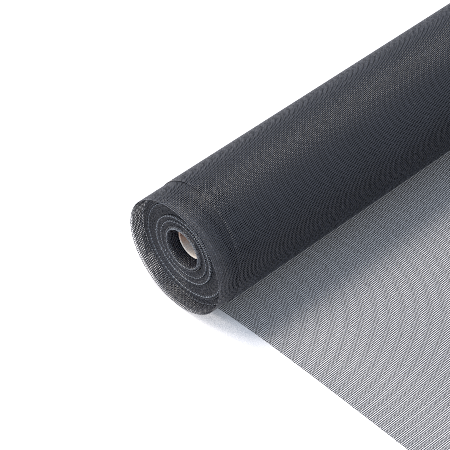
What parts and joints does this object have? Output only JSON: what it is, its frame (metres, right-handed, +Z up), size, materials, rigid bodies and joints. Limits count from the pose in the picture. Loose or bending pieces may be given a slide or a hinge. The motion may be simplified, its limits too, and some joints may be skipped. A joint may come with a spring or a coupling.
{
  "type": "roll of insect screen",
  "caption": "Roll of charcoal fiberglass insect screen wound on a paper tube, its turns slid out at one end and a loose end unrolled flat in front.",
  "frame": {"origin": "middle of the flat spot on which the roll rests", "axes": "+X along the roll, from the end with the slid-out turns to the other end; +Z up; the loose end lies towards -Y"},
  "size_m": [0.6347, 0.3805, 0.0988],
  "materials": {
    "screen": "matte PVC-coated glass yarn, many turns deep",
    "screen_single": "matte PVC-coated glass yarn, one open layer",
    "paper": "raw spiral-wound paperboard"
  },
  "bodies": {
    "root": {"wound_roll": "screen", "loose_end": "screen_single", "core": "paper"}
  },
  "joints": []
}
